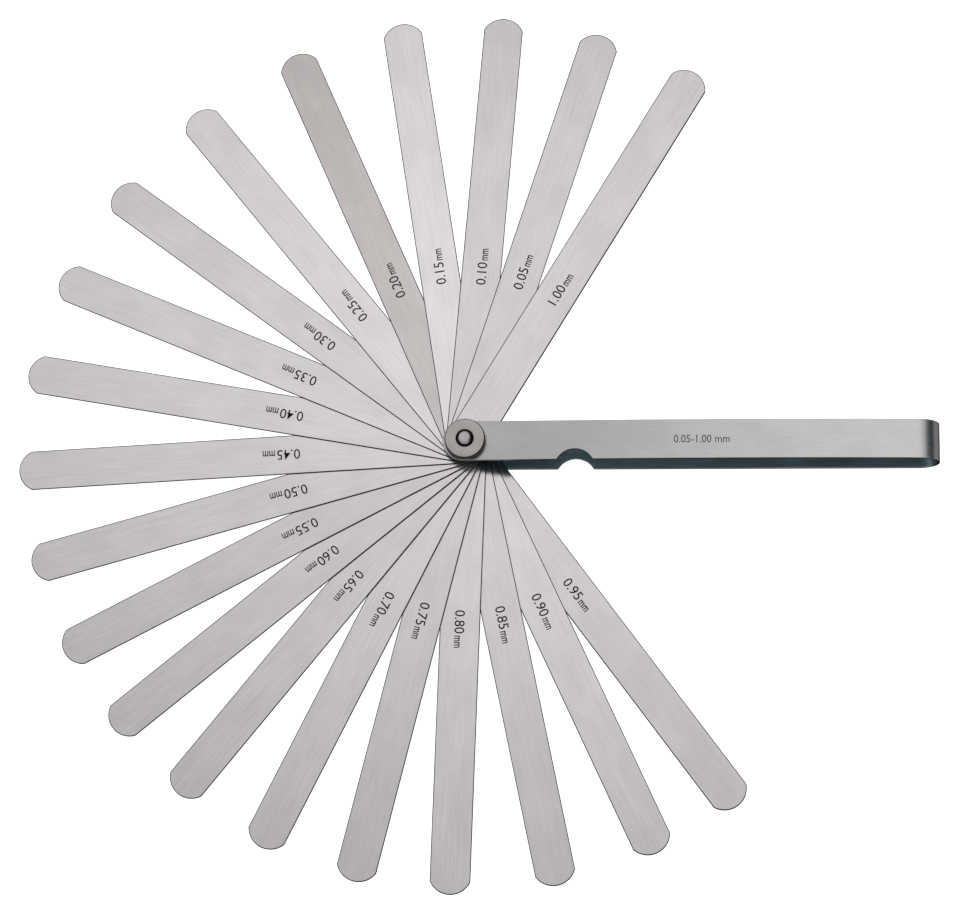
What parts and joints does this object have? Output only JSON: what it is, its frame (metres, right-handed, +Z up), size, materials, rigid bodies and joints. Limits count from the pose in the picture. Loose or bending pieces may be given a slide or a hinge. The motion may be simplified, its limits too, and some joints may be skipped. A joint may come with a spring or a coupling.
{
  "type": "feeler gauge",
  "caption": "Fan of flat steel thickness leaves on one pivot stud with a knurled lock nut, in a case folded from one strip.",
  "frame": {"origin": "on the pivot's axis, at the underside of the case", "axes": "+X along the case from the pivot to the bend, +Z up out of the lock nut, leaves turned out in the XY plane"},
  "size_m": [0.2937, 0.2868, 0.018],
  "materials": {
    "leaf_steel": "fine lengthwise brushed, satin",
    "leaf_steel_tan": "fine lengthwise brushed, slightly tanned",
    "case_nickel": "satin nickel plate",
    "stud_steel": "turned, satin",
    "washer_steel": "satin",
    "nut_steel": "turned face, knurled rim"
  },
  "bodies": {
    "case": {"case": "case_nickel", "pivot_stud": "stud_steel"},
    "leaf_1_00": {"leaf_1_00": "leaf_steel"},
    "leaf_0_05": {"leaf_0_05": "leaf_steel"},
    "leaf_0_10": {"leaf_0_10": "leaf_steel"},
    "leaf_0_15": {"leaf_0_15": "leaf_steel"},
    "leaf_0_20": {"leaf_0_20": "leaf_steel_tan"},
    "leaf_0_25": {"leaf_0_25": "leaf_steel"},
    "leaf_0_30": {"leaf_0_30": "leaf_steel"},
    "leaf_0_35": {"leaf_0_35": "leaf_steel"},
    "leaf_0_40": {"leaf_0_40": "leaf_steel"},
    "leaf_0_45": {"leaf_0_45": "leaf_steel"},
    "leaf_0_50": {"leaf_0_50": "leaf_steel"},
    "leaf_0_55": {"leaf_0_55": "leaf_steel"},
    "leaf_0_60": {"leaf_0_60": "leaf_steel"},
    "leaf_0_65": {"leaf_0_65": "leaf_steel"},
    "leaf_0_70": {"leaf_0_70": "leaf_steel"},
    "leaf_0_75": {"leaf_0_75": "leaf_steel"},
    "leaf_0_80": {"leaf_0_80": "leaf_steel"},
    "leaf_0_85": {"leaf_0_85": "leaf_steel"},
    "leaf_0_90": {"leaf_0_90": "leaf_steel"},
    "leaf_0_95": {"leaf_0_95": "leaf_steel"},
    "washer": {"washer": "washer_steel"},
    "lock_nut": {"lock_nut": "nut_steel"}
  },
  "joints": [
    {"name": "leaf_1_00_swing", "type": "hinge", "parent": "case", "child": "leaf_1_00", "pos_m": [0, 0, 0], "axis": [0, 0, 1], "range_deg": [-59.4, 300.6]},
    {"name": "leaf_0_05_swing", "type": "hinge", "parent": "case", "child": "leaf_0_05", "pos_m": [0, 0, 0], "axis": [0, 0, 1], "range_deg": [-72.6, 287.4]},
    {"name": "leaf_0_10_swing", "type": "hinge", "parent": "case", "child": "leaf_0_10", "pos_m": [0, 0, 0], "axis": [0, 0, 1], "range_deg": [-85.6, 274.4]},
    {"name": "leaf_0_15_swing", "type": "hinge", "parent": "case", "child": "leaf_0_15", "pos_m": [0, 0, 0], "axis": [0, 0, 1], "range_deg": [-99.2, 260.8]},
    {"name": "leaf_0_20_swing", "type": "hinge", "parent": "case", "child": "leaf_0_20", "pos_m": [0, 0, 0], "axis": [0, 0, 1], "range_deg": [-113.8, 246.2]},
    {"name": "leaf_0_25_swing", "type": "hinge", "parent": "case", "child": "leaf_0_25", "pos_m": [0, 0, 0], "axis": [0, 0, 1], "range_deg": [-129, 231]},
    {"name": "leaf_0_30_swing", "type": "hinge", "parent": "case", "child": "leaf_0_30", "pos_m": [0, 0, 0], "axis": [0, 0, 1], "range_deg": [-143.5, 216.5]},
    {"name": "leaf_0_35_swing", "type": "hinge", "parent": "case", "child": "leaf_0_35", "pos_m": [0, 0, 0], "axis": [0, 0, 1], "range_deg": [-157.2, 202.8]},
    {"name": "leaf_0_40_swing", "type": "hinge", "parent": "case", "child": "leaf_0_40", "pos_m": [0, 0, 0], "axis": [0, 0, 1], "range_deg": [-170.3, 189.7]},
    {"name": "leaf_0_45_swing", "type": "hinge", "parent": "case", "child": "leaf_0_45", "pos_m": [0, 0, 0], "axis": [0, 0, 1], "range_deg": [-183.4, 176.6]},
    {"name": "leaf_0_50_swing", "type": "hinge", "parent": "case", "child": "leaf_0_50", "pos_m": [0, 0, 0], "axis": [0, 0, 1], "range_deg": [-195.9, 164.1]},
    {"name": "leaf_0_55_swing", "type": "hinge", "parent": "case", "child": "leaf_0_55", "pos_m": [0, 0, 0], "axis": [0, 0, 1], "range_deg": [-208, 152]},
    {"name": "leaf_0_60_swing", "type": "hinge", "parent": "case", "child": "leaf_0_60", "pos_m": [0, 0, 0], "axis": [0, 0, 1], "range_deg": [-219.7, 140.3]},
    {"name": "leaf_0_65_swing", "type": "hinge", "parent": "case", "child": "leaf_0_65", "pos_m": [0, 0, 0], "axis": [0, 0, 1], "range_deg": [-231.5, 128.5]},
    {"name": "leaf_0_70_swing", "type": "hinge", "parent": "case", "child": "leaf_0_70", "pos_m": [0, 0, 0], "axis": [0, 0, 1], "range_deg": [-244, 116]},
    {"name": "leaf_0_75_swing", "type": "hinge", "parent": "case", "child": "leaf_0_75", "pos_m": [0, 0, 0], "axis": [0, 0, 1], "range_deg": [-256.4, 103.6]},
    {"name": "leaf_0_80_swing", "type": "hinge", "parent": "case", "child": "leaf_0_80", "pos_m": [0, 0, 0], "axis": [0, 0, 1], "range_deg": [-268.5, 91.5]},
    {"name": "leaf_0_85_swing", "type": "hinge", "parent": "case", "child": "leaf_0_85", "pos_m": [0, 0, 0], "axis": [0, 0, 1], "range_deg": [-282, 78]},
    {"name": "leaf_0_90_swing", "type": "hinge", "parent": "case", "child": "leaf_0_90", "pos_m": [0, 0, 0], "axis": [0, 0, 1], "range_deg": [-295, 65]},
    {"name": "leaf_0_95_swing", "type": "hinge", "parent": "case", "child": "leaf_0_95", "pos_m": [0, 0, 0], "axis": [0, 0, 1], "range_deg": [-306.7, 53.3]},
    {"name": "nut_turn", "type": "hinge", "parent": "case", "child": "washer", "pos_m": [0, 0, 0], "axis": [0, 0, 1], "range_deg": [0, 720]},
    {"name": "nut_lift", "type": "slide", "parent": "washer", "child": "lock_nut", "axis": [0, 0, 1], "range_m": [0, 0.00141]}
  ],
  "couplings": [
    {"joint": "nut_lift", "follows": "nut_turn", "m_per_rad": 0.00011141}
  ]
}
